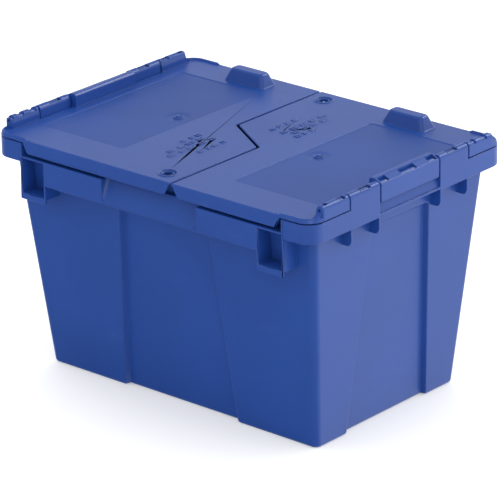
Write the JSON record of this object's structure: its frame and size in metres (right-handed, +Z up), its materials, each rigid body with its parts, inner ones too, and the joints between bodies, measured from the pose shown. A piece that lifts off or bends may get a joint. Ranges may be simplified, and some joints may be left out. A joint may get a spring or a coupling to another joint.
{
  "type": "attached-lid storage crate",
  "caption": "Tapered nest-and-stack plastic crate with two end-hinged lid halves that close along an interlocking seam.",
  "frame": {"origin": "centre of the crate's footprint, on the floor", "axes": "+X along the length to the right-hand hinge, -Y to the front long side, +Z up"},
  "size_m": [0.386, 0.277, 0.2495],
  "materials": {
    "tub_plastic": "satin, fine-grained injection-moulded polyolefin in blue",
    "lid_plastic": "satin, fine-grained injection-moulded polyolefin in blue, rougher on the label panels",
    "hinge_steel": "drawn, zinc-plated wire rod"
  },
  "bodies": {
    "crate": {"tub": "tub_plastic", "right_hinge_rod": "hinge_steel", "left_hinge_rod": "hinge_steel"},
    "right_lid": {"right_lid": "lid_plastic"},
    "left_lid": {"left_lid": "lid_plastic"}
  },
  "joints": [
    {"name": "right_lid_hinge", "type": "hinge", "parent": "crate", "child": "right_lid", "pos_m": [0.1885, 0, 0.2437], "axis": [0, 1, 0], "range_deg": [0, 270]},
    {"name": "left_lid_hinge", "type": "hinge", "parent": "crate", "child": "left_lid", "pos_m": [-0.1885, 0, 0.2437], "axis": [0, -1, 0], "range_deg": [0, 270]}
  ]
}
